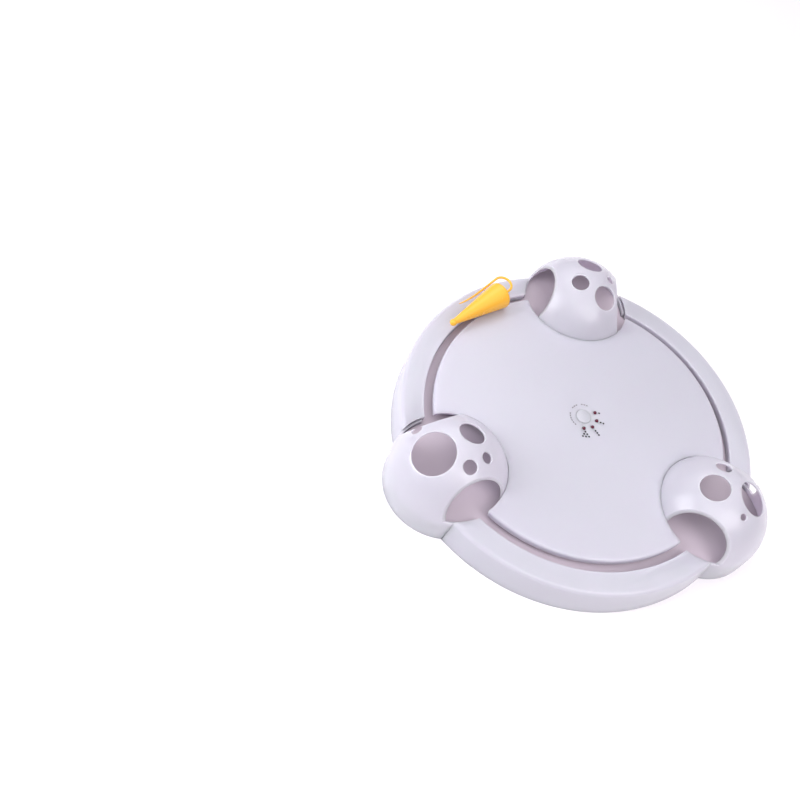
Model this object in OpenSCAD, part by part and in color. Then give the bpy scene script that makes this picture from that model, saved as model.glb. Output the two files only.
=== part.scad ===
// A round floor toy for cats: a mouse on a hidden turntable runs along the slot between a deck and a ring,
// through three holed domes. Millimetres. The origin is on the floor under the middle of the deck,
// +Z is up and +Y points through the back dome.

/* [Deck] */
// Radius of the deck
deck_r = 110; // [100:1:125]
// Rise of the deck from its rim to its middle
deck_crown = 4; // [3:0.5:7]
// Wall of the deck
deck_wall = 2.4; // [1.8:0.1:3]
// Rounding of the deck's rim
deck_round = 2; // [1:0.25:2.5]
// Width of the slot between the deck and the ring
slot_w = 6; // [5:0.5:9]

/* [Ring] */
// Width of the ring's flat top, with its rounding
ring_w = 17.2; // [15:0.1:24]
// Step from the deck's rim down to the ring's top
ring_step = 3; // [1:0.1:4]
// Wall of the ring
ring_wall = 2.2; // [1.6:0.1:2.8]
// Draft of the ring's outer wall, in degrees
ring_draft = 4.5; // [1:0.5:7]
// Rounding of the ring's outer edge
ring_round = 3; // [1:0.5:5]
// Rounding of the ring's inner edge
ring_lip_round = 1; // [0.5:0.25:1.5]

/* [Domes] */
// Radius of a dome
dome_r = 42.3; // [40:0.1:44]
// Wall of a dome
dome_wall = 1.6; // [1.2:0.1:2.2]
// Depth of the dome's widest level below the ring's top
dome_sink = 9.6; // [8:0.1:11]
// How far the dome's axis lies inside the middle of the slot
dome_inset = 3; // [2:0.1:4]
// Gap between a dome and the edge round it
dome_gap = 0.3; // [0.2:0.1:1]
// Distance of an arch's plane from the dome's middle
arch_reach = 34.5; // [33:0.5:36]
// Backward lean of an arch's plane, in degrees
arch_lean = 20; // [16:1:22]
// Turn of an arch's plane towards the middle of the deck, in degrees
arch_toe = 1; // [0:1:4]
// Rounding of the edges of a dome's holes
dome_edge_round = 0.5; // [0.2:0.05:0.55]

/* [Mouse] */
// Length from the rear rim to the middle of the nose
mouse_l = 48; // [42:1:52]
// Radius of the mouse at its rear
mouse_r = 10.3; // [9:0.1:10.8]
// Radius of the nose
nose_r = 2.7; // [2:0.1:3.5]
// Radius of the neck behind the nose
neck_r = 2.2; // [1.5:0.1:2.6]
// Rounding of the rear rim
mouse_round = 2.5; // [1:0.25:4]
// Height of the mouse's axis above the deck's rim
mouse_rise = 7.5; // [7:0.1:8]
// Gap between the mouse's flat belly and the deck's rim
belly_gap = 1; // [0.6:0.1:2]
// Place of the mouse on its round, in degrees from +X
mouse_angle = 137; // [120:1:150]
// Turn of the mouse's nose off the track, outward, in degrees
mouse_yaw = 3; // [0:1:5]
// Radius of the tail at its root
tail_r = 1; // [0.7:0.1:1.3]
// Radius of the tail at its tip
tail_tip_r = 0.5; // [0.4:0.1:0.7]
// Radius of the tail's loop
tail_loop_r = 6.9; // [5:0.1:7]
// Height of the tail above the mouse's axis
tail_rise = -1; // [-2:0.5:2]
// Depth of the socket in the mouse's belly
socket_depth = 5; // [3:0.5:6]

/* [Turntable] */
// Thickness of the arm
arm_t = 3; // [2.5:0.1:4]
// Width of the arm at its hub
arm_hub_w = 18; // [12:1:24]
// Width of the arm at its tip
arm_tip_w = 9; // [7:0.5:12]
// Thickness of the post in the slot
post_t = 3.2; // [2:0.1:3.6]
// Free height between the arm and the deck's rim
arm_headroom = 3.3; // [3:0.1:6]
// Outer radius of the turntable's hub
hub_r = 15.5; // [15:0.1:17]
// Running gap between flat faces that pass each other
run_gap = 0.6; // [0.4:0.1:1]
// Radial play of a shaft in its hole
shaft_play = 0.05; // [0.02:0.01:0.1]
// Radius of the spindle
spindle_r = 11; // [10.5:0.1:11.3]
// Radius of the spindle's bore
spindle_bore_r = 7; // [6:0.1:7.2]
// Radius of the spindle's flange
flange_r = 26.5; // [26:0.5:30]
// Thickness of the spindle's flange
flange_t = 2; // [1.8:0.1:3]

/* [Gears] */
// Module of the fine gears
fine_module = 0.5; // [0.48:0.01:0.55]
// Module of the coarse gears
coarse_module = 0.8; // [0.8:0.01:0.85]
// Teeth of the motor's pinion
pinion_teeth = 12; // [12:1:14]
// Teeth of the idler's wheel
wheel_teeth = 60; // [60:1:64]
// Teeth of the idler's pinion
idler_teeth = 12; // [12:1:13]
// Teeth of the drive gear
drive_teeth = 56; // [56:1:60]
// Thinning of each tooth for backlash
gear_play = 0.08; // [0.05:0.01:0.12]
// Face width of the wheel
wheel_t = 1.6; // [1.2:0.1:2]
// Face width of the drive gear
drive_t = 3; // [2:0.1:4]
// Clear height between gears and their neighbours
gear_clear = 0.4; // [0.3:0.1:0.8]
// Radius of the idler's pin and of the motor's shaft
pin_r = 1; // [0.8:0.05:1.2]
// Diameter of the motor
motor_d = 24; // [20:0.1:24]
// Height of the motor
motor_h = 12.3; // [10:0.1:13]

/* [Pod] */
// Thickness of the pod's floor
pod_floor = 2.4; // [2:0.1:3]
// Side wall of the pod
pod_wall = 2; // [1.5:0.1:3]
// Thickness of the pod's cover
cover_t = 1.8; // [1.6:0.1:3]

/* [Battery] */
// Diameter of a cell
cell_d = 14.5; // [10.5:0.1:15]
// Length of a cell with its nub
cell_l = 50.5; // [44.5:0.1:51]
// Free space round a cell
cell_gap = 0.7; // [0.4:0.1:1]
// Length of a contact spring
spring_l = 2.6; // [2:0.1:4]
// Thickness of a contact plate
contact_t = 0.5; // [0.3:0.1:0.8]
// Thickness of the battery door
door_t = 1.4; // [1.2:0.1:1.6]
// Ledge that the door lies against
door_ledge = 2; // [1.5:0.1:3]

/* [Controls] */
// Radius of the button
button_r = 5.5; // [5:0.1:6]
// Travel of the button
button_travel = 0.6; // [0.3:0.1:0.8]
// Height of the button above the deck
button_proud = 0.5; // [0.2:0.1:1]
// Radius of a lamp
led_r = 1.25; // [1:0.05:1.5]
// Distance of the lamps from the button's middle
led_ring_r = 10; // [9.6:0.1:11]
// Angle between neighbouring lamps, in degrees
led_step = 40; // [30:1:45]
// Radius of the circuit board
board_r = 18.5; // [18:0.1:18.8]
// Thickness of the circuit board
board_t = 1.6; // [1:0.1:2]
// Depth of the board below the deck's underside
board_drop = 2.4; // [2.2:0.1:3.5]
// Radius of a lead wire
lead_r = 0.6; // [0.4:0.05:0.65]

/* [Screws] */
// Radius of a screw's shank
screw_r = 1; // [0.8:0.05:1.1]
// Radius of a screw's head
screw_head_r = 2; // [1.7:0.1:2.1]
// Height of a screw's head
screw_head_h = 1.1; // [0.9:0.05:1.1]
// Length of a screw with its head
screw_l = 5.4; // [4.6:0.1:5.6]

/* [Hidden] */
$fn = 96;

// Colours
white = [0.90, 0.88, 0.94];
yellow = [1.0, 0.72, 0.12];
grey = [0.55, 0.55, 0.58];
steel = [0.72, 0.73, 0.75];
brass = [0.80, 0.66, 0.32];
green = [0.10, 0.35, 0.18];
black = [0.08, 0.08, 0.09];
red = [0.45, 0.03, 0.05];

// Small clearances: a fixed piece in its seat, a tool's overshoot in a cut
seat_gap = 0.05;
over = 1;

// Gear sizes
pressure_angle = 25;
addendum = 0.9;
dedendum = 1.2;
flank_steps = 3;
arc_steps = 8;
crown_steps = 12;
fine_arc_steps = 3;
function pitch_r(gear_module, teeth) = gear_module * teeth / 2;
function tip_r(gear_module, teeth) = pitch_r(gear_module, teeth) + addendum * gear_module;
idler_y = pitch_r(coarse_module, drive_teeth) + pitch_r(coarse_module, idler_teeth);
motor_y = idler_y + pitch_r(fine_module, wheel_teeth) + pitch_r(fine_module, pinion_teeth);
drive_tip_r = tip_r(coarse_module, drive_teeth);
wheel_tip_r = tip_r(fine_module, wheel_teeth);

// Heights, from the floor up
wheel_z = pod_floor + gear_clear;
drive_z = wheel_z + wheel_t + gear_clear;
idler_top_z = drive_z + drive_t + gear_clear;
motor_z = wheel_z + wheel_t + gear_clear;
cell_axis_z = door_t + cell_gap + cell_d / 2;
cover_z = max(motor_z + motor_h, cell_axis_z + cell_d / 2) + gear_clear;
cover_top_z = cover_z + cover_t;
arm_z = cover_top_z + run_gap;
arm_top_z = arm_z + arm_t;
flange_z = arm_top_z + run_gap;
flange_top_z = flange_z + flange_t;
board_stand = 0.7;
rim_stack_z = arm_top_z + arm_headroom + deck_wall;
middle_stack_z = flange_top_z + board_stand + board_t + board_drop + deck_wall - deck_crown;
deck_edge_z = max(rim_stack_z, middle_stack_z);
deck_top_z = deck_edge_z + deck_crown;
deck_under_z = deck_top_z - deck_wall;
board_z = deck_under_z - board_drop - board_t;
board_top_z = board_z + board_t;
ring_h = deck_edge_z - ring_step;
lip_z = cover_top_z + seat_gap;
dome_z = ring_h - dome_sink;
mouse_z = deck_edge_z + mouse_rise;
belly_z = deck_edge_z + belly_gap;

// Radii about the middle
slot_r = deck_r + slot_w / 2;
ring_in_r = deck_r + slot_w;
ring_out_r = ring_in_r + ring_w;
sweep_r = ring_in_r + ring_wall;
crown_r = (deck_r * deck_r + deck_crown * deck_crown) / (2 * deck_crown);
dome_axis_r = slot_r - dome_inset;
cut_r = dome_r + dome_gap;
dome_angles = [90, 210, 330];

// Each hole of a dome: bearing from the clockwise mouth, elevation, half angle, in degrees
back_holes = [[-142, 77, 9], [-45, 63, 12.9], [82, 66, 13.5], [15, 64, 4.3]];
left_holes = [[82, 62, 21.3], [-64, 71, 12.7], [175, 67, 6.8], [-135, 63, 5.4], [35, 42, 5.4]];
right_holes = [[-61, 74, 14.2], [113, 64, 17], [54, 62, 3.2], [-145, 63, 7.6], [150, 45, 4.8]];

// Tabs that tie a dome to the deck and to the ring
tab_t = 1.8;
tab_w = 8;
tab_hole_reach = cut_r + 5;
deck_tab_spread = 28;
deck_tab_top_z = flange_z + tab_t;
ring_boss_h = 5;
ring_tab_top_z = ring_h - ring_wall - ring_boss_h;
ring_tab_r = (ring_in_r + ring_out_r) / 2;
ring_tab_half = acos((dome_axis_r^2 + ring_tab_r^2 - tab_hole_reach^2) / (2 * dome_axis_r * ring_tab_r));
ring_tab_bearing = atan2(ring_tab_r * cos(ring_tab_half) - dome_axis_r, ring_tab_r * sin(ring_tab_half));
boss_r = 3.2;
lip_wall = 2.6;
sill_z = flange_z - gear_clear;

// Screw places
screw_hole_r = screw_r + 0.15;
pilot_r = screw_r + seat_gap;
pilot_depth = screw_l + 0.6;
arm_screw_r = (spindle_r + hub_r) / 2;
spindle_screw_r = (spindle_r + spindle_bore_r) / 2;
spindle_screw_angles = [90, 210, 330];
deck_screw_r = (board_r + flange_r) / 2;
deck_screw_angles = [45, 135, 225, 315];
board_screw_r = board_r - 3.5;
board_screw_angles = [60, 150, 240];
board_screw_l = board_t + 2.3;

// The post and the mouse
post_w = 9;
post_back = 8;
post_angle = mouse_angle - atan(post_back / slot_r);
post_top_z = belly_z + socket_depth - seat_gap;
hub_plate_r = hub_r + 3;

// The battery bay
cell_count = 3;
cell_pitch = cell_d + cell_gap;
bay_wall = 1.6;
motor_seat_wall = 2;
bay_y = drive_tip_r + gear_clear + bay_wall;
bay_w = cell_count * cell_pitch;
bay_mid_y = -(bay_y + bay_w / 2);
bay_l = cell_l + spring_l + 2 * (contact_t + 2 * seat_gap);
bay_top_z = cell_axis_z + cell_d / 4;
ear_r = 4.5;
ear_x = bay_l / 2 + door_ledge + ear_r - 1;
pod_in_r = motor_y + motor_d / 2 + 4;
pod_r = pod_in_r + pod_wall;
track_floor_r = sweep_r - run_gap;
dome_floor_r = dome_r - dome_wall - run_gap;
block_x = ear_x + ear_r + pod_wall;
block_y = bay_y + bay_w + door_ledge + pod_wall;
pod_screw_r = pod_in_r - boss_r + pod_wall / 2;
pod_screw_angles = [35, 145, 200, 340];
cover_hole_r = hub_r + run_gap;

// The switch, the button and the wires
switch_w = 6;
switch_h = 2.5;
plunger_r = 1.75;
plunger_h = 0.9;
switch_top_z = board_top_z + switch_h;
plunger_top_z = switch_top_z + plunger_h;
button_play = 0.15;
button_stop = 0.3;
button_flange_t = 1.2;
led_first = 29;
lead_z = pod_floor + lead_r + seat_gap;
lead_space = 1.35;
notch_w = 3 * lead_space + 4 * lead_r;
lead_bore_y = -(spindle_bore_r - 2);

// Points on an involute tooth flank
function involute(a) = tan(a) * 180 / PI - a;
function polar(r, a) = [r * cos(a), r * sin(a)];
function arc_points(middle, r, from, to) =
    let (steps = r < 1 ? fine_arc_steps : arc_steps)
    [for (i = [0:steps]) middle + polar(r, from + (to - from) * i / steps)];
function base_r(gear_module, teeth) = pitch_r(gear_module, teeth) * cos(pressure_angle);
function half_tooth(gear_module, teeth, r) =
    90 / teeth - gear_play / (2 * pitch_r(gear_module, teeth)) * 180 / PI
    + involute(pressure_angle) - involute(acos(min(1, base_r(gear_module, teeth) / r)));

// Turn of a gear that meshes with a first one in the direction theta
function mesh_turn(first_teeth, first_turn, theta, teeth) =
    theta + 180 - (0.5 - first_teeth * (theta - first_turn) / 360) * 360 / teeth;
idler_turn = mesh_turn(drive_teeth, 0, 90, idler_teeth);
pinion_turn = mesh_turn(wheel_teeth, 0, 90, pinion_teeth);

module gear_outline(gear_module, teeth) {
    root_r = pitch_r(gear_module, teeth) - dedendum * gear_module;
    start_r = max(base_r(gear_module, teeth), root_r);
    top_r = tip_r(gear_module, teeth);
    radii = [for (i = [0:flank_steps]) start_r + (top_r - start_r) * i / flank_steps];
    foot = half_tooth(gear_module, teeth, start_r);
    points = [
        for (tooth = [0:teeth - 1])
            let (middle = tooth * 360 / teeth)
            each concat(
                [polar(root_r, middle - foot)],
                [for (r = radii) polar(r, middle - half_tooth(gear_module, teeth, r))],
                [for (i = [flank_steps:-1:0]) polar(radii[i], middle + half_tooth(gear_module, teeth, radii[i]))],
                [polar(root_r, middle + foot)]
            )
    ];
    polygon(points);
}

// A round tube swept along points, each with its own radius
function unit(v) = v / norm(v);
function heading(p, i) =
    i == 0 ? unit(p[1] - p[0])
    : i == len(p) - 1 ? unit(p[i] - p[i - 1])
    : unit(unit(p[i] - p[i - 1]) + unit(p[i + 1] - p[i]));
function square_to(side, along) = unit(side - (side * along) * along);
function carried(p, i, side) =
    i == 0 ? square_to(side, heading(p, 0)) : square_to(carried(p, i - 1, side), heading(p, i));

module sweep(points, radii, start_side, corners = 8) {
    last = len(points) - 1;
    rings = [
        for (i = [0:last])
            let (along = heading(points, i), side = carried(points, i, start_side), up = cross(along, side))
            for (k = [0:corners - 1])
                points[i] + radii[i] * (cos(360 * k / corners) * side + sin(360 * k / corners) * up)
    ];
    walls = [
        for (i = [0:last - 1], k = [0:corners - 1])
            let (a = i * corners + k, b = i * corners + (k + 1) % corners)
            each [[a, a + corners, b], [b, a + corners, b + corners]]
    ];
    caps = [
        for (k = [1:corners - 2])
            each [[0, k, k + 1], [last * corners, last * corners + k + 1, last * corners + k]]
    ];
    polyhedron(rings, concat(walls, caps));
}

// A countersunk screw that points up, its head's flat face at z = 0
module screw(length = screw_l) {
    cylinder(r1 = screw_head_r, r2 = screw_r, h = screw_head_h);
    cylinder(r = screw_r, h = length);
}

// The hole for such a screw through a plate of thickness t
module screw_hole(t) {
    translate([0, 0, -over])
        cylinder(r = screw_hole_r, h = t + 2 * over);
    cylinder(r1 = screw_head_r + seat_gap, r2 = screw_hole_r, h = screw_head_h + seat_gap);
    translate([0, 0, -over])
        cylinder(r = screw_head_r + seat_gap, h = over);
}

module at_polar(r, a, z = 0) {
    translate([r * cos(a), r * sin(a), z])
        rotate([0, 0, a])
            children();
}

// Puts a dome's own frame in its place: +Y outward, +X to the clockwise mouth, z from the floor
module at_dome(a) {
    translate([dome_axis_r * cos(a), dome_axis_r * sin(a), 0])
        rotate([0, 0, a - 90])
            children();
}

module at_deck_tabs(a) {
    for (side = [-1, 1])
        at_dome(a)
            rotate([0, 0, -90 + side * deck_tab_spread])
                children();
}

module at_ring_tabs(a) {
    for (side = [-1, 1])
        at_dome(a)
            rotate([0, 0, side > 0 ? ring_tab_bearing : 180 - ring_tab_bearing])
                children();
}

// Deck
module deck_section(wall) {
    sphere_z = deck_top_z - crown_r;
    round_x = deck_r - deck_round;
    round_z = sphere_z + sqrt((crown_r - deck_round)^2 - round_x^2);
    meet_angle = atan2(round_z - sphere_z, round_x);
    meet_x = crown_r * cos(meet_angle);
    if (wall == 0) {
        polygon(concat(
            [[0, flange_z], [deck_r, flange_z]],
            arc_points([round_x, round_z], deck_round, 0, meet_angle),
            [for (i = [crown_steps - 1:-1:0]) let (x = meet_x * i / crown_steps)
                [x, sphere_z + sqrt(crown_r^2 - x^2)]]
        ));
    } else {
        inner_x = deck_r - wall;
        polygon(concat(
            [[0, 0], [inner_x, 0]],
            [for (i = [crown_steps:-1:0]) let (x = inner_x * i / crown_steps)
                [x, sphere_z + sqrt((crown_r - wall)^2 - x^2)]]
        ));
    }
}

module deck_bosses() {
    for (a = deck_screw_angles)
        at_polar(deck_screw_r, a, flange_top_z)
            cylinder(r = boss_r, h = deck_crown + deck_edge_z);
    for (a = dome_angles)
        at_deck_tabs(a)
            translate([tab_hole_reach, 0, deck_tab_top_z])
                cylinder(r = boss_r, h = deck_edge_z);
    for (a = dome_angles)
        at_dome(a)
            translate([0, 0, deck_tab_top_z + 0.2])
                cylinder(r = cut_r + lip_wall, h = deck_edge_z);
}

// The deck's cut round a dome
module dome_bite() {
    translate([0, 0, dome_z])
        sphere(r = cut_r);
}

module deck() {
    color(white)
    difference() {
        union() {
            difference() {
                rotate_extrude()
                    deck_section(0);
                rotate_extrude()
                    deck_section(deck_wall);
            }
            intersection() {
                rotate_extrude()
                    deck_section(0);
                deck_bosses();
            }
        }
        for (a = dome_angles)
            at_dome(a)
                dome_bite();
        for (a = deck_screw_angles)
            at_polar(deck_screw_r, a, flange_z)
                cylinder(r = pilot_r, h = pilot_depth);
        for (a = dome_angles)
            at_deck_tabs(a)
                translate([tab_hole_reach, 0, flange_z])
                    cylinder(r = pilot_r, h = pilot_depth);
        cylinder(r = button_r + button_play, h = 2 * deck_top_z);
        for (i = [0:3])
            at_polar(led_ring_r, led_first - i * led_step)
                cylinder(r = led_r + button_play, h = 2 * deck_top_z);
    }
}

// Ring
module ring_section() {
    round_x = ring_out_r - ring_round;
    round_z = ring_h - ring_round;
    foot_x = round_x + ring_round * cos(ring_draft)
        + (round_z + ring_round * sin(ring_draft)) * tan(ring_draft);
    wall_x = ring_wall / cos(ring_draft);
    hollow_z = ring_h - ring_wall;
    difference() {
        polygon(concat(
            [[ring_in_r, 0], [foot_x, 0]],
            arc_points([round_x, round_z], ring_round, ring_draft, 90),
            arc_points([ring_in_r + ring_lip_round, ring_h - ring_lip_round], ring_lip_round, 90, 180)
        ));
        polygon([
            [ring_in_r + ring_wall, -over], [foot_x - wall_x + over * tan(ring_draft), -over],
            [foot_x - wall_x - hollow_z * tan(ring_draft), hollow_z], [ring_in_r + ring_wall, hollow_z]
        ]);
        translate([ring_in_r - over, -over])
            square([ring_wall + 2 * over, lip_z + over]);
    }
}

module ring_arc(middle) {
    color(white)
    difference() {
        union() {
            rotate([0, 0, middle - 53])
                rotate_extrude(angle = 106)
                    ring_section();
            for (side = [-1, 1])
                at_polar(ring_tab_r, middle + side * (60 - ring_tab_half), ring_tab_top_z)
                    cylinder(r = boss_r, h = ring_boss_h + ring_wall / 2);
        }
        for (side = [-1, 1])
            at_dome(middle + side * 60)
                dome_space();
        for (side = [-1, 1])
            at_polar(ring_tab_r, middle + side * (60 - ring_tab_half), ring_tab_top_z - tab_t)
                cylinder(r = pilot_r, h = pilot_depth);
    }
}

module ring_front() { ring_arc(270); }
module ring_right() { ring_arc(30); }
module ring_left() { ring_arc(150); }

// Domes
module dome_section(r, foot_z) {
    intersection() {
        translate([0, dome_z])
            circle(r = r);
        translate([0, dome_z])
            square(r);
    }
    translate([0, foot_z])
        square([r, dome_z - foot_z]);
}

// The room that a dome takes up among its neighbours, with the gap round it
module dome_space() {
    rotate_extrude()
        dome_section(cut_r, -over);
}

// A hole's cutter about its own axis, flared to round the wall's inner and outer edge
module hole_section(r) {
    f = dome_edge_round;
    in_r = dome_r - dome_wall;
    in_middle = [r + f, sqrt((in_r + f)^2 - (r + f)^2)];
    out_middle = [r + f, sqrt((dome_r - f)^2 - (r + f)^2)];
    in_angle = atan2(in_middle.y, in_middle.x);
    out_angle = atan2(out_middle.y, out_middle.x);
    polygon(concat(
        [[0, in_r / 2], polar(in_r - 2 * f, in_angle)],
        arc_points(in_middle, f, in_angle + 180, 180),
        arc_points(out_middle, f, 180, out_angle),
        [polar(dome_r + 2 * f, out_angle), [0, 2 * dome_r]]
    ));
}

module dome_arch() {
    reach = 3 * dome_r;
    intersection() {
        translate([0, 0, dome_z])
            rotate([0, -arch_lean, -arch_toe])
                translate([arch_reach, -reach / 2, -reach / 2])
                    cube(reach);
        translate([-reach, -reach, sill_z])
            cube(2 * reach);
    }
}

module dome_tab(hole_z) {
    rise = max(hole_z - dome_z, 0);
    root = sqrt(dome_r^2 - rise^2) - 0.75 * dome_wall;
    translate([0, 0, hole_z])
        difference() {
            linear_extrude(tab_t) {
                translate([root, -tab_w / 2])
                    square([tab_hole_reach - root, tab_w]);
                translate([tab_hole_reach, 0])
                    circle(d = tab_w);
            }
            translate([tab_hole_reach, 0, 0])
                screw_hole(tab_t);
        }
}

module dome(a, holes) {
    color(white) {
        difference() {
            at_dome(a)
                difference() {
                    rotate_extrude()
                        dome_section(dome_r, 0);
                    rotate_extrude()
                        dome_section(dome_r - dome_wall, -over);
                    dome_arch();
                    mirror([1, 0, 0])
                        dome_arch();
                    for (hole = holes)
                        translate([0, 0, dome_z])
                            rotate([0, 90 - hole[1], hole[0]])
                                rotate_extrude()
                                    hole_section(dome_r * sin(hole[2]));
                }
            translate([0, 0, -over])
                cylinder(r = sweep_r, h = flange_z + over);
        }
        at_deck_tabs(a)
            dome_tab(flange_z);
        at_ring_tabs(a)
            dome_tab(ring_tab_top_z - tab_t);
    }
}

module dome_back() { dome(dome_angles[0], back_holes); }
module dome_left() { dome(dome_angles[1], left_holes); }
module dome_right() { dome(dome_angles[2], right_holes); }

// Mouse, in its own frame: x forward from the rear rim, z from its axis
module at_mouse() {
    at_polar(slot_r, mouse_angle, mouse_z)
        rotate([0, 0, 90 - mouse_yaw])
            translate([-mouse_l / 2, 0, 0])
                children();
}

module post(extra) {
    at_polar(slot_r, post_angle)
        translate([-post_t / 2 - extra, -post_w / 2 - extra, arm_z])
            cube([post_t + 2 * extra, post_w + 2 * extra, post_top_z + extra - arm_z]);
}

module mouse_body() {
    cone_l = mouse_l - nose_r / 2;
    color(yellow)
    difference() {
        at_mouse() {
            rotate([0, 90, 0])
                rotate_extrude() {
                    polygon([[0, 0], [mouse_r, 0], [neck_r, cone_l], [0, cone_l]]);
                    intersection() {
                        translate([mouse_r - mouse_round, 0])
                            circle(r = mouse_round);
                        translate([0, -mouse_round])
                            square([mouse_r, mouse_round]);
                    }
                    translate([0, -mouse_round])
                        square([mouse_r - mouse_round, mouse_round]);
                }
            translate([mouse_l, 0, 0])
                sphere(r = nose_r);
        }
        at_mouse()
            translate([-mouse_l, -mouse_l, belly_z - mouse_z - 2 * mouse_r])
                cube([3 * mouse_l, 2 * mouse_l, 2 * mouse_r]);
        post(seat_gap);
        at_mouse()
            translate([-mouse_round - tail_plug, 0, tail_rise])
                rotate([0, 90, 0])
                    cylinder(r = tail_r + seat_gap, h = 2 * tail_plug);
    }
}

// The tail leaves the rear, loops outward and runs forward along the body to a fine tip
tail_plug = 3;
tail_stub = 8.5;
tail_side_l = 31.5;
tail_tip_l = 11.7;
tail_slant = 7.5;
tail_flick = 8;
loop_steps = 16;
loop_turn = 180 + tail_slant;
tail_points = let (
        loop_x = -mouse_round - tail_stub,
        loop = [for (i = [0:loop_steps]) let (a = i * loop_turn / loop_steps)
            [loop_x - tail_loop_r * sin(a), -tail_loop_r * (1 - cos(a)), tail_rise]],
        side_end = loop[loop_steps] + tail_side_l * [cos(tail_slant), sin(tail_slant), 0],
        tip = side_end + tail_tip_l * [cos(tail_flick), -sin(tail_flick), 0]
    ) concat([[tail_plug - mouse_round - seat_gap, 0, tail_rise]], loop, [side_end, tip]);
tail_radii = [for (i = [0:len(tail_points) - 1])
    i < len(tail_points) - 2 ? tail_r : i == len(tail_points) - 2 ? (tail_r + tail_tip_r) / 2 : tail_tip_r];

module mouse_tail() {
    color(yellow)
    at_mouse()
        sweep(tail_points, tail_radii, [0, 0, 1], 12);
}

// Turntable
module arm() {
    color(grey)
    difference() {
        union() {
            translate([0, 0, arm_z])
                cylinder(r = hub_plate_r, h = arm_t);
            translate([0, 0, arm_z])
                rotate([0, 0, post_angle])
                    linear_extrude(arm_t)
                        polygon([
                            [0, -arm_hub_w / 2], [slot_r + post_t / 2, -arm_tip_w / 2],
                            [slot_r + post_t / 2, arm_tip_w / 2], [0, arm_hub_w / 2]
                        ]);
            post(0);
        }
        translate([0, 0, arm_z - over])
            cylinder(r = spindle_r + run_gap / 2, h = arm_t + 2 * over);
        for (i = [0:2])
            at_polar(arm_screw_r, post_angle + 60 + i * 120, arm_top_z)
                mirror([0, 0, 1])
                    screw_hole(arm_t);
    }
}

module arm_screws() {
    color(steel)
    for (i = [0:2])
        at_polar(arm_screw_r, post_angle + 60 + i * 120, arm_top_z)
            mirror([0, 0, 1])
                screw();
}

module drive_gear() {
    color(white)
    difference() {
        union() {
            translate([0, 0, drive_z])
                linear_extrude(drive_t)
                    gear_outline(coarse_module, drive_teeth);
            translate([0, 0, drive_z])
                cylinder(r = hub_r, h = arm_z - drive_z);
        }
        translate([0, 0, drive_z - over])
            cylinder(r = spindle_r + shaft_play, h = arm_z - drive_z + 2 * over);
        for (i = [0:2])
            at_polar(arm_screw_r, post_angle + 60 + i * 120, arm_top_z - pilot_depth)
                cylinder(r = pilot_r, h = pilot_depth);
    }
}

// Gear train
module idler_gear() {
    color(white)
    translate([0, idler_y, 0])
        difference() {
            union() {
                translate([0, 0, wheel_z])
                    linear_extrude(wheel_t)
                        gear_outline(fine_module, wheel_teeth);
                translate([0, 0, wheel_z + wheel_t])
                    rotate([0, 0, idler_turn])
                        linear_extrude(idler_top_z - wheel_z - wheel_t)
                            gear_outline(coarse_module, idler_teeth);
            }
            cylinder(r = pin_r + shaft_play, h = idler_top_z + over);
        }
}

module idler_pin() {
    color(steel)
    translate([0, idler_y, pod_floor / 4])
        cylinder(r = pin_r, h = idler_top_z + 4 - pod_floor / 4);
}

module motor_can() {
    color(steel)
    translate([0, motor_y, motor_z])
        difference() {
            cylinder(d = motor_d, h = motor_h);
            translate([0, 0, -over])
                cylinder(r = pin_r + shaft_play, h = motor_h / 2 + over + seat_gap);
        }
}

module motor_shaft() {
    color(steel)
    translate([0, motor_y, wheel_z])
        cylinder(r = pin_r, h = motor_z + motor_h / 2 - wheel_z);
}

module motor_pinion() {
    color(brass)
    translate([0, motor_y, wheel_z])
        rotate([0, 0, pinion_turn])
            difference() {
                linear_extrude(wheel_t)
                    gear_outline(fine_module, pinion_teeth);
                translate([0, 0, -over])
                    cylinder(r = pin_r + seat_gap / 2, h = wheel_t + 2 * over);
            }
}

// Spindle
module spindle() {
    color(grey)
    difference() {
        union() {
            translate([0, 0, pod_floor])
                cylinder(r = spindle_r, h = flange_top_z - pod_floor);
            translate([0, 0, flange_z])
                cylinder(r = flange_r, h = flange_t);
            for (a = board_screw_angles)
                at_polar(board_screw_r, a, flange_top_z - seat_gap)
                    cylinder(r = boss_r - 0.7, h = board_z - flange_top_z + seat_gap);
        }
        cylinder(r = spindle_bore_r, h = flange_top_z + over);
        for (a = spindle_screw_angles)
            at_polar(spindle_screw_r, a)
                cylinder(r = pilot_r, h = pilot_depth);
        for (a = deck_screw_angles)
            at_polar(deck_screw_r, a, flange_z)
                screw_hole(flange_t);
        for (a = board_screw_angles)
            at_polar(board_screw_r, a, board_top_z - board_screw_l - seat_gap)
                cylinder(r = pilot_r, h = board_screw_l);
        translate([-notch_w / 2, -spindle_r - over, pod_floor - over])
            cube([notch_w, spindle_r - spindle_bore_r + 2 * over, 2 * lead_r + 3 * seat_gap + over]);
    }
}

module spindle_screws() {
    color(steel)
    for (a = spindle_screw_angles)
        at_polar(spindle_screw_r, a)
            screw();
}

module deck_screws() {
    color(steel)
    for (a = deck_screw_angles)
        at_polar(deck_screw_r, a, flange_z)
            screw();
}

// Pod
module bay_block(grow, z, h) {
    translate([-bay_l / 2 - grow, bay_mid_y - bay_w / 2 - grow, z])
        cube([bay_l + 2 * grow, bay_w + 2 * grow, h]);
}

module door_plate(shrink, z, h) {
    bay_block(door_ledge - shrink, z, h);
    for (side = [-1, 1])
        translate([side * ear_x, bay_mid_y, z])
            cylinder(r = ear_r - shrink, h = h);
}

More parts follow.
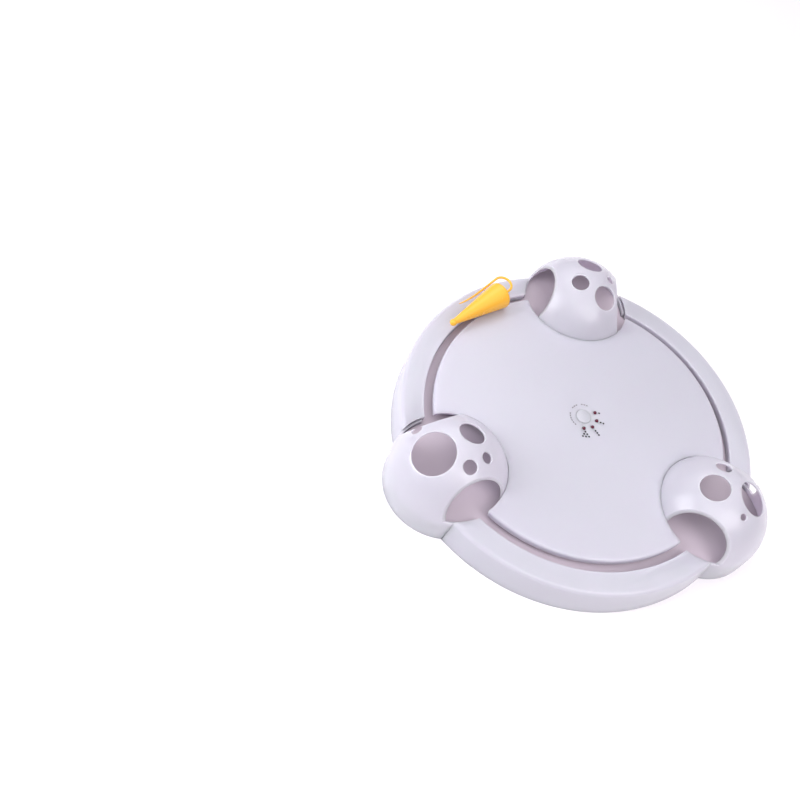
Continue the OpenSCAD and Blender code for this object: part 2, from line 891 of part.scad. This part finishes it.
module motor_seat() {
    translate([0, motor_y, 0])
        difference() {
            cylinder(r = motor_d / 2 + motor_seat_wall, h = motor_z + motor_h / 3);
            translate([0, 0, motor_z])
                cylinder(r = motor_d / 2 + 0.2, h = motor_h);
            cylinder(r = motor_d / 2 - motor_seat_wall, h = motor_h);
        }
}

module pod_outline(inset) {
    circle(r = pod_r - inset);
    translate([-block_x + inset, -block_y + inset])
        square([2 * (block_x - inset), block_y - bay_y]);
}

module pod_base() {
    color(white)
    difference() {
        union() {
            linear_extrude(pod_floor)
                pod_outline(0);
            linear_extrude(cover_z)
                difference() {
                    pod_outline(0);
                    pod_outline(pod_wall);
                }
            bay_block(bay_wall, 0, bay_top_z);
            difference() {
                motor_seat();
                translate([0, idler_y, pod_floor])
                    cylinder(r = wheel_tip_r + run_gap, h = cover_z);
            }
            translate([0, idler_y, 0])
                cylinder(r = 2.5 * pin_r, h = wheel_z - gear_clear / 2);
            for (side = [-1, 1])
                translate([side * ear_x, bay_mid_y, 0])
                    cylinder(r = boss_r, h = screw_l + 2);
            for (a = pod_screw_angles)
                at_polar(pod_screw_r, a)
                    cylinder(r = boss_r, h = cover_z - seat_gap);
        }
        bay_block(0, -over, bay_top_z + 2 * over);
        door_plate(0, -over, door_t + over);
        for (side = [-1, 1])
            translate([side * ear_x, bay_mid_y, 0])
                cylinder(r = pilot_r, h = pilot_depth);
        for (a = pod_screw_angles)
            at_polar(pod_screw_r, a, cover_top_z - pilot_depth)
                cylinder(r = pilot_r, h = pilot_depth);
        for (a = spindle_screw_angles)
            at_polar(spindle_screw_r, a)
                screw_hole(pod_floor);
        translate([0, idler_y, pod_floor / 4])
            cylinder(r = pin_r + seat_gap / 2, h = wheel_z);
        translate([-notch_w / 2, -bay_y - over, pod_floor])
            cube([notch_w, bay_wall + 2 * over, 2 * lead_r + 3 * seat_gap]);
    }
}

// The cover reaches out past the pod, as the floor of the domes and of the track, and under the
// ring's inner wall
module cover_outline() {
    circle(r = track_floor_r);
    for (a = dome_angles)
        translate(polar(dome_axis_r, a))
            circle(r = dome_floor_r);
}

module pod_cover() {
    color(white)
    difference() {
        union() {
            translate([0, 0, cover_z])
                linear_extrude(cover_t)
                    cover_outline();
            translate([0, 0, cover_z])
                cylinder(r = hub_plate_r, h = cover_t + run_gap / 2);
            translate([0, idler_y, idler_top_z + gear_clear])
                cylinder(r = 3 * pin_r, h = cover_z - idler_top_z);
        }
        translate([0, 0, cover_z - over])
            cylinder(r = cover_hole_r, h = cover_t + 2 * over);
        translate([0, idler_y, idler_top_z])
            cylinder(r = pin_r + seat_gap / 2, h = 4 + seat_gap);
        for (a = pod_screw_angles)
            at_polar(pod_screw_r, a, cover_top_z)
                mirror([0, 0, 1])
                    screw_hole(cover_t);
    }
}

module pod_screws() {
    color(steel)
    for (a = pod_screw_angles)
        at_polar(pod_screw_r, a, cover_top_z)
            mirror([0, 0, 1])
                screw();
}

// Battery: cells lie side by side, turned about in turn
cell_nub_r = 2.75;
cell_nub_l = 1.2;
contact_w = 10;

module at_cells() {
    for (i = [0:cell_count - 1])
        translate([0, -(bay_y + (i + 0.5) * cell_pitch), cell_axis_z])
            mirror([i % 2, 0, 0])
                children();
}

module battery_cells() {
    nub_x = bay_l / 2 - contact_t - 2 * seat_gap;
    color(black)
    at_cells()
        translate([nub_x - cell_l, 0, 0])
            rotate([0, 90, 0]) {
                cylinder(d = cell_d, h = cell_l - cell_nub_l);
                cylinder(r = cell_nub_r, h = cell_l);
            }
}

module battery_contacts() {
    color(steel)
    at_cells()
        for (x = [-bay_l / 2 + seat_gap, bay_l / 2 - contact_t - seat_gap])
            translate([x, -contact_w / 2, -contact_w / 2])
                cube([contact_t, contact_w, contact_w]);
}

module battery_springs() {
    color(steel)
    at_cells()
        translate([-bay_l / 2 + contact_t + seat_gap, 0, 0])
            rotate([0, 90, 0])
                cylinder(r1 = contact_w / 2 - 0.5, r2 = cell_nub_r, h = spring_l);
}

module battery_door() {
    color(white)
    difference() {
        door_plate(0.2, 0, door_t);
        for (side = [-1, 1])
            translate([side * ear_x, bay_mid_y, 0])
                screw_hole(door_t);
    }
}

module door_screws() {
    color(steel)
    for (side = [-1, 1])
        translate([side * ear_x, bay_mid_y, 0])
            screw();
}

// Controls
module circuit_board() {
    color(green)
    difference() {
        translate([0, 0, board_z])
            cylinder(r = board_r, h = board_t);
        for (a = board_screw_angles)
            at_polar(board_screw_r, a, board_z - over)
                cylinder(r = screw_hole_r, h = board_t + 2 * over);
    }
}

module board_screws() {
    color(steel)
    for (a = board_screw_angles)
        at_polar(board_screw_r, a, board_top_z) {
            cylinder(r = screw_head_r, h = screw_head_h);
            translate([0, 0, -board_screw_l])
                cylinder(r = screw_r, h = board_screw_l + screw_head_h);
        }
}

module switch_body() {
    color(black)
    difference() {
        translate([-switch_w / 2, -switch_w / 2, board_top_z])
            cube([switch_w, switch_w, switch_h]);
        translate([0, 0, switch_top_z - button_travel - 2 * plunger_h])
            cylinder(r = plunger_r + shaft_play, h = 3 * plunger_h);
    }
}

module switch_plunger() {
    color(grey)
    translate([0, 0, switch_top_z - plunger_h])
        cylinder(r = plunger_r, h = 2 * plunger_h);
}

module button_cap() {
    top = deck_top_z + button_proud;
    flange_top = deck_under_z - button_stop;
    low = flange_top - button_flange_t;
    round_r = button_proud;
    pocket_r = switch_w * 0.76;
    color(white)
    rotate_extrude()
        polygon(concat(
            [[0, plunger_top_z], [pocket_r, plunger_top_z], [pocket_r, low], [button_r + button_flange_t, low],
                [button_r + button_flange_t, flange_top], [button_r, flange_top]],
            arc_points([button_r - round_r, top - round_r], round_r, 0, 90),
            [[0, top]]
        ));
}

module mode_leds() {
    color(red)
    for (i = [0:3])
        at_polar(led_ring_r, led_first - i * led_step, board_top_z) {
            cylinder(r = led_r, h = deck_top_z - board_top_z);
            translate([0, 0, deck_top_z - board_top_z])
                intersection() {
                    sphere(r = led_r);
                    cylinder(r = led_r, h = led_r);
                }
        }
}

// Wires: two from the battery bay and two from the motor, up through the spindle to the board
module lead(route, side) {
    sweep(route, [for (p = route) lead_r], side);
}

module battery_leads() {
    bay_run_y = -bay_y - lead_r - 2 * seat_gap;
    end_x = bay_l / 2 - contact_t - 3 * seat_gap - lead_r;
    color(red)
    for (i = [0:1]) {
        x = (i - 0.5) * lead_space;
        first_y = i == 1 ? bay_run_y - 2 * lead_r : -(bay_y + (cell_count - 0.5) * cell_pitch);
        lead([
            [(2 * i - 1) * end_x, first_y, lead_z],
            [(2 * i - 1) * end_x, bay_run_y, lead_z],
            [x, bay_run_y, lead_z],
            [x, lead_bore_y, lead_z],
            [x, lead_bore_y, board_z - seat_gap]
        ], [0, 0, 1]);
    }
}

module motor_leads() {
    out_x = wheel_tip_r + 3;
    can_x = motor_d / 2 + seat_gap;
    drop_x = motor_d / 2 + motor_seat_wall + 2 * lead_r;
    solder_z = motor_z + 0.6 * motor_h;
    color(black)
    for (side = [-1, 1])
        lead([
            [side * can_x, motor_y, solder_z],
            [side * drop_x, motor_y, solder_z],
            [side * drop_x, motor_y, lead_z],
            [side * out_x, motor_y - motor_d / 4, lead_z],
            [side * out_x, 0, lead_z],
            [side * 1.5 * lead_space, -spindle_r - 4, lead_z],
            [side * 1.5 * lead_space, lead_bore_y, lead_z],
            [side * 1.5 * lead_space, lead_bore_y, board_z - seat_gap]
        ], [0, 0, 1]);
}

// Screws that tie the domes to their neighbours
module dome_deck_screws() {
    color(steel)
    for (a = dome_angles)
        at_deck_tabs(a)
            translate([tab_hole_reach, 0, flange_z])
                screw();
}

module dome_ring_screws() {
    color(steel)
    for (a = dome_angles)
        at_ring_tabs(a)
            translate([tab_hole_reach, 0, ring_tab_top_z - tab_t])
                screw();
}

deck();
ring_front();
ring_right();
ring_left();
dome_back();
dome_left();
dome_right();
mouse_body();
mouse_tail();
arm();
drive_gear();
arm_screws();
idler_gear();
idler_pin();
motor_can();
motor_shaft();
motor_pinion();
spindle();
spindle_screws();
deck_screws();
pod_base();
pod_cover();
pod_screws();
battery_cells();
battery_contacts();
battery_springs();
battery_door();
door_screws();
circuit_board();
board_screws();
switch_body();
switch_plunger();
button_cap();
mode_leds();
battery_leads();
motor_leads();
dome_deck_screws();
dome_ring_screws();
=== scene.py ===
import math

import bpy
from mathutils import Matrix, Vector


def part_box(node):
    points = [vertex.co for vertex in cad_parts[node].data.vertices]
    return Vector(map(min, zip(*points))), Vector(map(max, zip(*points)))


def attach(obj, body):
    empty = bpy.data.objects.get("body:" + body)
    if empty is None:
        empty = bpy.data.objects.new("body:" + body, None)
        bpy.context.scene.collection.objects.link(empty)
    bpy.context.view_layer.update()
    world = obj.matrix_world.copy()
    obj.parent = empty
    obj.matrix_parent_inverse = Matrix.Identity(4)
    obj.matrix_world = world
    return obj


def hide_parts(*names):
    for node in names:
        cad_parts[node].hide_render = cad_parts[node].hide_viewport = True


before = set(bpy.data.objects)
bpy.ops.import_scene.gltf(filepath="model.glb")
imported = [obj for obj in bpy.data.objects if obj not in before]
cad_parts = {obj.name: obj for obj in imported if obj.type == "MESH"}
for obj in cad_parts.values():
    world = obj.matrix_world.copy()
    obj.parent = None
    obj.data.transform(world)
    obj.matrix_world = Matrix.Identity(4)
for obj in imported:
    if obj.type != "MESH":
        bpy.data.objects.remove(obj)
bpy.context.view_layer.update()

mm = 0.001

# Studio
# A pale seamless floor under large soft boxes, with the camera held above the front left of the toy,
# a little rolled, as a hand-held product shot is.
camera_data = bpy.data.cameras.new("camera")
camera_data.sensor_width = 36
camera_data.lens = 44.28
camera_data.clip_start = 0.01
camera = bpy.data.objects.new("camera", camera_data)
bpy.context.collection.objects.link(camera)
camera_place = Vector((-228.44, -386.65, 595.77)) * mm
camera_right = Vector((0.97617552, 0.06610508, 0.20666755))
camera_up = Vector((-0.16774319, 0.83407374, 0.52553137))
camera_back = camera_right.cross(camera_up)
camera.matrix_world = Matrix((camera_right, camera_up, camera_back)).transposed().to_4x4()
camera.matrix_world.translation = camera_place
bpy.context.scene.camera = camera
bpy.context.scene.view_settings.view_transform = "Standard"

world = bpy.data.worlds.new("studio")
world.use_nodes = True
world.node_tree.nodes["Background"].inputs["Color"].default_value = (1.0, 0.98, 1.0, 1)
world.node_tree.nodes["Background"].inputs["Strength"].default_value = 0.30
bpy.context.scene.world = world

toy_middle = Vector((0, 0, 0.02))


def soft_box(name, place, size, watts, tint):
    """A square soft light that faces the middle of the toy."""
    light = bpy.data.lights.new(name, "AREA")
    light.shape = "SQUARE"
    light.size = size
    light.energy = watts
    light.color = tint
    box = bpy.data.objects.new(name, light)
    bpy.context.collection.objects.link(box)
    box.location = place
    box.rotation_euler = (Vector(place) - toy_middle).to_track_quat("Z", "Y").to_euler()


soft_box("window_box", (-0.86, -0.06, 0.50), 0.62, 6.6, (0.96, 0.97, 1.0))
soft_box("front_box", (-0.05, -0.62, 1.05), 0.70, 2.4, (1.0, 0.98, 0.98))
soft_box("side_box", (0.44, -0.50, 0.74), 0.50, 3.6, (1.0, 0.97, 0.97))
soft_box("back_box", (-0.20, 0.75, 0.80), 0.80, 2.5, (1.0, 0.98, 1.0))
soft_box("top_box", (0.05, 0.20, 2.20), 3.00, 29.0, (1.0, 0.985, 1.0))

floor_side = 8
bpy.ops.object.select_all(action="DESELECT")
bpy.ops.mesh.primitive_plane_add(size=floor_side, location=(0, 0, 0))
floor = bpy.context.active_object
floor.name = "floor"

fibres_per_metre = 400
floor_paper = bpy.data.materials.new("floor_paper")
floor_paper.use_nodes = True
paper_nodes = floor_paper.node_tree.nodes
paper_links = floor_paper.node_tree.links
paper_shader = paper_nodes["Principled BSDF"]
paper_shader.inputs["Roughness"].default_value = 0.9
paper_shader.inputs["Specular IOR Level"].default_value = 0.2
paper_place = paper_nodes.new("ShaderNodeTexCoord")
paper_fibre = paper_nodes.new("ShaderNodeTexNoise")
paper_fibre.inputs["Scale"].default_value = fibres_per_metre
paper_tone = paper_nodes.new("ShaderNodeValToRGB")
paper_tone.color_ramp.elements[0].color = (0.93, 0.91, 0.935, 1)
paper_tone.color_ramp.elements[1].color = (0.95, 0.93, 0.955, 1)
paper_links.new(paper_place.outputs["Object"], paper_fibre.inputs["Vector"])
paper_links.new(paper_fibre.outputs["Fac"], paper_tone.inputs["Fac"])
paper_links.new(paper_tone.outputs["Color"], paper_shader.inputs["Base Color"])
floor.data.materials.append(floor_paper)

# Pod
# The low housing under the deck: a floor tray, a battery door and a wide cover that is also the floor
# of the track and of the domes. All are injection moulded in white plastic with a fine matt skin, and
# held by small screws. Their colour is painted shade: a darker grey mauve than the shell's white, which
# stands in for the shade that falls in the track and inside the domes.
noise_span = (0.3, 0.7)
drifts_per_metre = 22
patches_per_metre = 160


def noise_texture(nodes, per_metre, detail):
    """A noise of so many cells in a metre."""
    texture = nodes.new("ShaderNodeTexNoise")
    texture.inputs["Scale"].default_value = per_metre
    texture.inputs["Detail"].default_value = detail
    return texture


def tone_ramp(nodes, low_tone, high_tone):
    """A ramp between two close tones, over the span that a noise mostly keeps to."""
    ramp = nodes.new("ShaderNodeValToRGB")
    low_end, high_end = ramp.color_ramp.elements
    low_end.position, high_end.position = noise_span
    low_end.color = (*low_tone, 1)
    high_end.color = (*high_tone, 1)
    return ramp


def gloss_range(nodes, at_low, at_high):
    """A roughness between two values, over the same span."""
    gloss = nodes.new("ShaderNodeMapRange")
    gloss.inputs["From Min"].default_value, gloss.inputs["From Max"].default_value = noise_span
    gloss.inputs["To Min"].default_value = at_low
    gloss.inputs["To Max"].default_value = at_high
    return gloss


def moulded_plastic(name, tone, deep_tone, rough_low, rough_high, grain_size, grain_depth):
    """A moulded plastic: slow colour drift from the melt, patchy gloss and, if it has one, a fine grain."""
    plastic = bpy.data.materials.new(name)
    plastic.use_nodes = True
    nodes = plastic.node_tree.nodes
    links = plastic.node_tree.links
    shader = nodes["Principled BSDF"]
    place = nodes.new("ShaderNodeTexCoord")
    drift = noise_texture(nodes, drifts_per_metre, 3)
    tint = tone_ramp(nodes, deep_tone, tone)
    patch = noise_texture(nodes, patches_per_metre, 4)
    gloss = gloss_range(nodes, rough_low, rough_high)
    links.new(place.outputs["Object"], drift.inputs["Vector"])
    links.new(place.outputs["Object"], patch.inputs["Vector"])
    links.new(drift.outputs["Fac"], tint.inputs["Fac"])
    links.new(tint.outputs["Color"], shader.inputs["Base Color"])
    links.new(patch.outputs["Fac"], gloss.inputs["Value"])
    links.new(gloss.outputs["Result"], shader.inputs["Roughness"])
    if grain_depth:
        grain = noise_texture(nodes, 1 / grain_size, 2)
        skin = nodes.new("ShaderNodeBump")
        skin.inputs["Strength"].default_value = 1
        skin.inputs["Distance"].default_value = grain_depth
        links.new(place.outputs["Object"], grain.inputs["Vector"])
        links.new(grain.outputs["Fac"], skin.inputs["Height"])
        links.new(skin.outputs["Normal"], shader.inputs["Normal"])
    return plastic


def finish_nodes(material, *nodes):
    """Gives carried-over pieces their finish."""
    for node in nodes:
        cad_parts[node].material_slots[0].material = material


# Painted shade: this tone is darker and more mauve than the shell's, for the shaded track and dome insides.
pod_painted_shade = moulded_plastic(
    "pod_painted_shade", (0.540, 0.465, 0.535), (0.525, 0.450, 0.520), 0.48, 0.58, 0.6 * mm, 0.012 * mm
)
finish_nodes(pod_painted_shade, "pod_base", "pod_cover", "battery_door")

# Screws
# Small plated steel tapping screws, turned and rolled, that pull each moulding onto its boss. Their
# heads keep faint marks of the drawing.
drawn_out = (1, 1, 12)


def worked_metal(name, tone, dark_tone, rough_low, rough_high, scratch_size):
    """A bare metal with fine drawing marks in its colour and gloss."""
    metal = bpy.data.materials.new(name)
    metal.use_nodes = True
    nodes = metal.node_tree.nodes
    links = metal.node_tree.links
    shader = nodes["Principled BSDF"]
    shader.inputs["Metallic"].default_value = 1
    place = nodes.new("ShaderNodeTexCoord")
    draw = nodes.new("ShaderNodeMapping")
    draw.inputs["Scale"].default_value = drawn_out
    marks = noise_texture(nodes, 1 / scratch_size, 5)
    tint = tone_ramp(nodes, dark_tone, tone)
    gloss = gloss_range(nodes, rough_high, rough_low)
    links.new(place.outputs["Object"], draw.inputs["Vector"])
    links.new(draw.outputs["Vector"], marks.inputs["Vector"])
    links.new(marks.outputs["Fac"], tint.inputs["Fac"])
    links.new(tint.outputs["Color"], shader.inputs["Base Color"])
    links.new(marks.outputs["Fac"], gloss.inputs["Value"])
    links.new(gloss.outputs["Result"], shader.inputs["Roughness"])
    return metal


screw_plate = worked_metal("screw_plate", (0.62, 0.63, 0.65), (0.48, 0.49, 0.52), 0.25, 0.42, 0.5 * mm)
finish_nodes(
    screw_plate,
    "arm_screws", "spindle_screws", "deck_screws", "pod_screws", "door_screws", "board_screws",
    "dome_deck_screws", "dome_ring_screws",
)

# Motor
# A flat can motor stands shaft down in the pod, with a pressed steel case, a ground shaft and a
# pinion cut from brass that is pressed on it. The idler's pin is of the same ground steel.
motor_steel = worked_metal("motor_steel", (0.68, 0.69, 0.70), (0.55, 0.56, 0.58), 0.22, 0.38, 1.2 * mm)
pinion_brass = worked_metal("pinion_brass", (0.80, 0.62, 0.28), (0.66, 0.48, 0.19), 0.22, 0.36, 0.6 * mm)
finish_nodes(motor_steel, "motor_can", "motor_shaft", "idler_pin")
finish_nodes(pinion_brass, "motor_pinion")

# Gears
# The idler and the turntable's gear are moulded in natural white gear plastic, waxy to the touch. The
# idler turns on its pin, and the turntable's gear on the spindle.
gear_white = moulded_plastic(
    "gear_white", (0.82, 0.81, 0.77), (0.76, 0.75, 0.70), 0.36, 0.48, 0.8 * mm, 0.008 * mm
)
finish_nodes(gear_white, "idler_gear", "drive_gear")

# Spindle and arm
# The fixed post that carries the deck, and the spoke that carries the mouse, are moulded in grey
# plastic. The switch's plunger is of the same kind.
arm_grey = moulded_plastic(
    "arm_grey", (0.44, 0.44, 0.47), (0.38, 0.38, 0.41), 0.42, 0.55, 0.5 * mm, 0.012 * mm
)
finish_nodes(arm_grey, "spindle", "arm", "switch_plunger")

# Cells and contacts
# Three dry cells in a dark printed sleeve with a pale band near each end, pressed between nickel
# plated contact plates and coil springs.
cell_reach = 26 * mm
band_from, band_to, cap_from = 0.62, 0.70, 0.93
scuffs_per_metre = 300
cell_sleeve = bpy.data.materials.new("cell_sleeve")
cell_sleeve.use_nodes = True
sleeve_nodes = cell_sleeve.node_tree.nodes
sleeve_links = cell_sleeve.node_tree.links
sleeve_shader = sleeve_nodes["Principled BSDF"]
sleeve_shader.inputs["Metallic"].default_value = 0.6
sleeve_place = sleeve_nodes.new("ShaderNodeTexCoord")
sleeve_axes = sleeve_nodes.new("ShaderNodeSeparateXYZ")
sleeve_reach = sleeve_nodes.new("ShaderNodeMath")
sleeve_reach.operation = "ABSOLUTE"
sleeve_along = sleeve_nodes.new("ShaderNodeMapRange")
sleeve_along.inputs["From Max"].default_value = cell_reach
sleeve_bands = sleeve_nodes.new("ShaderNodeValToRGB")
sleeve_bands.color_ramp.interpolation = "CONSTANT"
sleeve_bands.color_ramp.elements[0].color = (0.035, 0.036, 0.04, 1)
sleeve_bands.color_ramp.elements[1].position = band_from
sleeve_bands.color_ramp.elements[1].color = (0.55, 0.55, 0.57, 1)
sleeve_end = sleeve_bands.color_ramp.elements.new(band_to)
sleeve_end.color = (0.05, 0.05, 0.055, 1)
sleeve_cap = sleeve_bands.color_ramp.elements.new(cap_from)
sleeve_cap.color = (0.60, 0.60, 0.61, 1)
sleeve_scuff = sleeve_nodes.new("ShaderNodeTexNoise")
sleeve_scuff.inputs["Scale"].default_value = scuffs_per_metre
sleeve_gloss = sleeve_nodes.new("ShaderNodeMapRange")
sleeve_gloss.inputs["To Min"].default_value = 0.2
sleeve_gloss.inputs["To Max"].default_value = 0.42
sleeve_links.new(sleeve_place.outputs["Object"], sleeve_axes.inputs["Vector"])
sleeve_links.new(sleeve_axes.outputs["X"], sleeve_reach.inputs[0])
sleeve_links.new(sleeve_reach.outputs["Value"], sleeve_along.inputs["Value"])
sleeve_links.new(sleeve_along.outputs["Result"], sleeve_bands.inputs["Fac"])
sleeve_links.new(sleeve_bands.outputs["Color"], sleeve_shader.inputs["Base Color"])
sleeve_links.new(sleeve_place.outputs["Object"], sleeve_scuff.inputs["Vector"])
sleeve_links.new(sleeve_scuff.outputs["Fac"], sleeve_gloss.inputs["Value"])
sleeve_links.new(sleeve_gloss.outputs["Result"], sleeve_shader.inputs["Roughness"])
finish_nodes(cell_sleeve, "battery_cells")

contact_nickel = worked_metal("contact_nickel", (0.72, 0.71, 0.70), (0.58, 0.57, 0.55), 0.18, 0.34, 1 * mm)
finish_nodes(contact_nickel, "battery_contacts", "battery_springs")

# Board, switch and leads
# A green board on the spindle's flange, a black push switch under the button, and thin red and
# black sleeved wires to the cells and the motor.
board_mask = moulded_plastic(
    "board_mask", (0.05, 0.25, 0.10), (0.035, 0.19, 0.075), 0.28, 0.40, 1.5 * mm, 0.02 * mm
)
switch_black = moulded_plastic(
    "switch_black", (0.030, 0.030, 0.032), (0.020, 0.020, 0.022), 0.42, 0.55, 0.4 * mm, 0.012 * mm
)
lead_red = moulded_plastic(
    "lead_red", (0.52, 0.03, 0.03), (0.42, 0.02, 0.02), 0.38, 0.50, 0.5 * mm, 0.01 * mm
)
lead_black = moulded_plastic(
    "lead_black", (0.030, 0.030, 0.030), (0.020, 0.020, 0.020), 0.38, 0.50, 0.5 * mm, 0.01 * mm
)
finish_nodes(board_mask, "circuit_board")
finish_nodes(switch_black, "switch_body")
finish_nodes(lead_red, "battery_leads")
finish_nodes(lead_black, "motor_leads")

# Ring
# Three arcs of the outer ring, moulded in faintly lilac white plastic with a satin gloss, with a
# rounded outer edge. Each is screwed to the feet of the domes at its ends.
shell_white = moulded_plastic(
    "shell_white", (0.540, 0.526, 0.608), (0.534, 0.520, 0.602), 0.25, 0.27, 1.2 * mm, 0
)
shell_shader = shell_white.node_tree.nodes["Principled BSDF"]
shell_shader.inputs["Subsurface Weight"].default_value = 1.0
shell_shader.inputs["Subsurface Radius"].default_value = (1.0, 0.85, 0.95)
shell_shader.inputs["Subsurface Scale"].default_value = 8 * mm
merge_within = 0.001 * mm
flat_within = math.radians(0.05)
smooth_below = math.radians(32)
sharp_above = math.radians(50)


def eased_copy(node, name, body, material, ease):
    """A merged copy of a node's mesh with its sharp edges eased, which stands for the node."""
    bpy.ops.object.select_all(action="DESELECT")
    piece = bpy.data.objects.new(name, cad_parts[node].data.copy())
    bpy.context.collection.objects.link(piece)
    piece.select_set(True)
    bpy.context.view_layer.objects.active = piece
    bpy.ops.object.mode_set(mode="EDIT")
    bpy.ops.mesh.select_all(action="SELECT")
    bpy.ops.mesh.customdata_custom_splitnormals_clear()
    bpy.ops.mesh.remove_doubles(threshold=merge_within)
    bpy.ops.mesh.dissolve_limited(angle_limit=flat_within)
    bpy.ops.object.mode_set(mode="OBJECT")
    if ease:
        bevel = piece.modifiers.new("ease", "BEVEL")
        bevel.width = ease
        bevel.segments = 2
        bevel.limit_method = "ANGLE"
        bevel.angle_limit = sharp_above
        bpy.ops.object.modifier_apply(modifier="ease")
    bpy.ops.object.shade_smooth_by_angle(angle=smooth_below)
    piece.data.materials.clear()
    piece.data.materials.append(material)
    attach(piece, body)
    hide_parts(node)
    return piece


for side in ("front", "right", "left"):
    eased_copy("ring_" + side, "ring_shell_" + side, "base", shell_white, 0.3 * mm)

# Domes
# Three thin holed domes that stand astride the slot, each moulded in one piece with rounded hole
# edges and two arch mouths that the mouse runs through.
for side in ("back", "left", "right"):
    eased_copy("dome_" + side, "dome_shell_" + side, "base", shell_white, 0.3 * mm)

# Deck
# The crowned disc in the middle, moulded in the same plastic, with a rolled rim and a bite for each
# dome. It is screwed to the spindle's flange from below.
eased_copy("deck", "deck_shell", "base", shell_white, 0.25 * mm)

# Button
# A round white cap in the middle of the deck, with a crowned top, that presses the switch below it.
# It is moulded in the deck's plastic.
eased_copy("button_cap", "button_shell", "button", shell_white, 0.2 * mm)

# Lamps
# Four small clear red lamps, unlit and so almost maroon, that stand on the board and show the pace.
# Their round tops come through the deck beside the button.
lamp_red = moulded_plastic(
    "lamp_red", (0.11, 0.006, 0.028), (0.08, 0.004, 0.020), 0.12, 0.20, 0.6 * mm, 0.004 * mm
)
finish_nodes(lamp_red, "mode_leds")

# Printed marks
# Dots that count the four paces beside the lamps, and a ring of plain dashes round the button, pad
# printed on the deck as a thin raised film of ink.
film = 0.06 * mm
film_taper = 0.9
film_sink = 0.4 * film
deck_r = 110 * mm
deck_crown = 4 * mm
crown_r = (deck_r ** 2 + deck_crown ** 2) / (2 * deck_crown)
crown_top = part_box("deck")[1].z
ink_black = moulded_plastic(
    "ink_black", (0.012, 0.011, 0.014), (0.008, 0.008, 0.010), 0.38, 0.52, 0.3 * mm, 0.004 * mm
)
ink_grey = moulded_plastic(
    "ink_grey", (0.240, 0.225, 0.250), (0.200, 0.185, 0.210), 0.40, 0.55, 0.3 * mm, 0.004 * mm
)


def ink_film(name, material, width, length, corner):
    """Sizes the flat outline that was just added, rounds its corners and raises it to a film."""
    piece = bpy.context.active_object
    piece.name = name
    bpy.ops.object.mode_set(mode="EDIT")
    bpy.ops.mesh.select_all(action="SELECT")
    bpy.ops.transform.resize(value=(width, length, 1))
    if corner:
        bpy.ops.mesh.bevel(offset=corner, segments=4, affect="VERTICES")
        bpy.ops.mesh.select_all(action="SELECT")
    bpy.ops.mesh.extrude_region_move(TRANSFORM_OT_translate={"value": (0, 0, film)})
    bpy.ops.transform.resize(value=(film_taper, film_taper, 1))
    bpy.ops.mesh.select_all(action="SELECT")
    bpy.ops.mesh.normals_make_consistent(inside=False)
    bpy.ops.object.mode_set(mode="OBJECT")
    bpy.ops.object.shade_smooth_by_angle(angle=smooth_below)
    piece.data.materials.append(material)
    return piece


def print_marks(first, places):
    """Sets a mark and its copies on the deck's crown, each at a radius and a bearing in degrees."""
    plain = first.data.copy()
    for number, (radius, bearing) in enumerate(places, 1):
        piece = first
        if number > 1:
            piece = bpy.data.objects.new(f"{first.name}_{number}", plain.copy())
            bpy.context.collection.objects.link(piece)
        height = crown_top - radius ** 2 / (2 * crown_r) - film_sink
        turn = Matrix.Rotation(math.radians(bearing), 4, "Z")
        piece.data.transform(turn @ Matrix.Translation((radius, 0, height)))
        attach(piece, "base")


bpy.ops.object.select_all(action="DESELECT")
bpy.ops.mesh.primitive_circle_add(vertices=24, radius=1, fill_type="NGON", location=(0, 0, 0))
dot_r = 0.78 * mm
pace_dot = ink_film("pace_dot", ink_black, dot_r, dot_r, 0)
one_dot = [(13.0 * mm, 23)]
two_dots = [(r * mm, -12) for r in (13.1, 15.2)]
three_dots = [(r * mm, -51) for r in (13.6, 15.5, 17.4)]
six_rows = ((12.8, (0,)), (14.7, (-4.5, 4.5)), (16.7, (-8, 0, 8)))
six_dots = [(r * mm, -86 + side) for r, sides in six_rows for side in sides]
print_marks(pace_dot, one_dot + two_dots + three_dots + six_dots)

bpy.ops.object.select_all(action="DESELECT")
bpy.ops.mesh.primitive_plane_add(size=1, location=(0, 0, 0))
button_dash = ink_film("button_dash", ink_grey, 1.0 * mm, 1.5 * mm, 0.3 * mm)
dash_ring_r = 10.1 * mm
dash_pitch = 11
dash_rows = ((230, 6), (143, 3), (96, 3))
dashes = [(dash_ring_r, first - dash_pitch * i) for first, count in dash_rows for i in range(count)]
print_marks(button_dash, dashes)

# Mouse
# A smooth yellow cone with a nub nose, moulded in glossy plastic and pushed onto the post that rises
# through the slot.
mouse_yellow = moulded_plastic(
    "mouse_yellow", (0.92, 0.475, 0.045), (0.90, 0.450, 0.038), 0.24, 0.28, 0.9 * mm, 0
)
eased_copy("mouse_body", "mouse_skin", "turntable", mouse_yellow, 0.3 * mm)

# Tail
# A thin tapered tail of the same yellow plastic, plugged into the mouse's rear, that loops outward
# and runs forward beside the body. It is moulded stiff and keeps its curl.
quad_within = math.radians(60)
rounding_steps = 2
tail = eased_copy("mouse_tail", "tail_skin", "turntable", mouse_yellow, 0)
bpy.ops.object.mode_set(mode="EDIT")
bpy.ops.mesh.select_all(action="SELECT")
bpy.ops.mesh.tris_convert_to_quads(face_threshold=quad_within, shape_threshold=quad_within)
bpy.ops.object.mode_set(mode="OBJECT")
rounding = tail.modifiers.new("rounding", "SUBSURF")
rounding.levels = rounding_steps
rounding.render_levels = rounding_steps
bpy.ops.object.modifier_apply(modifier="rounding")
bpy.ops.object.shade_smooth()
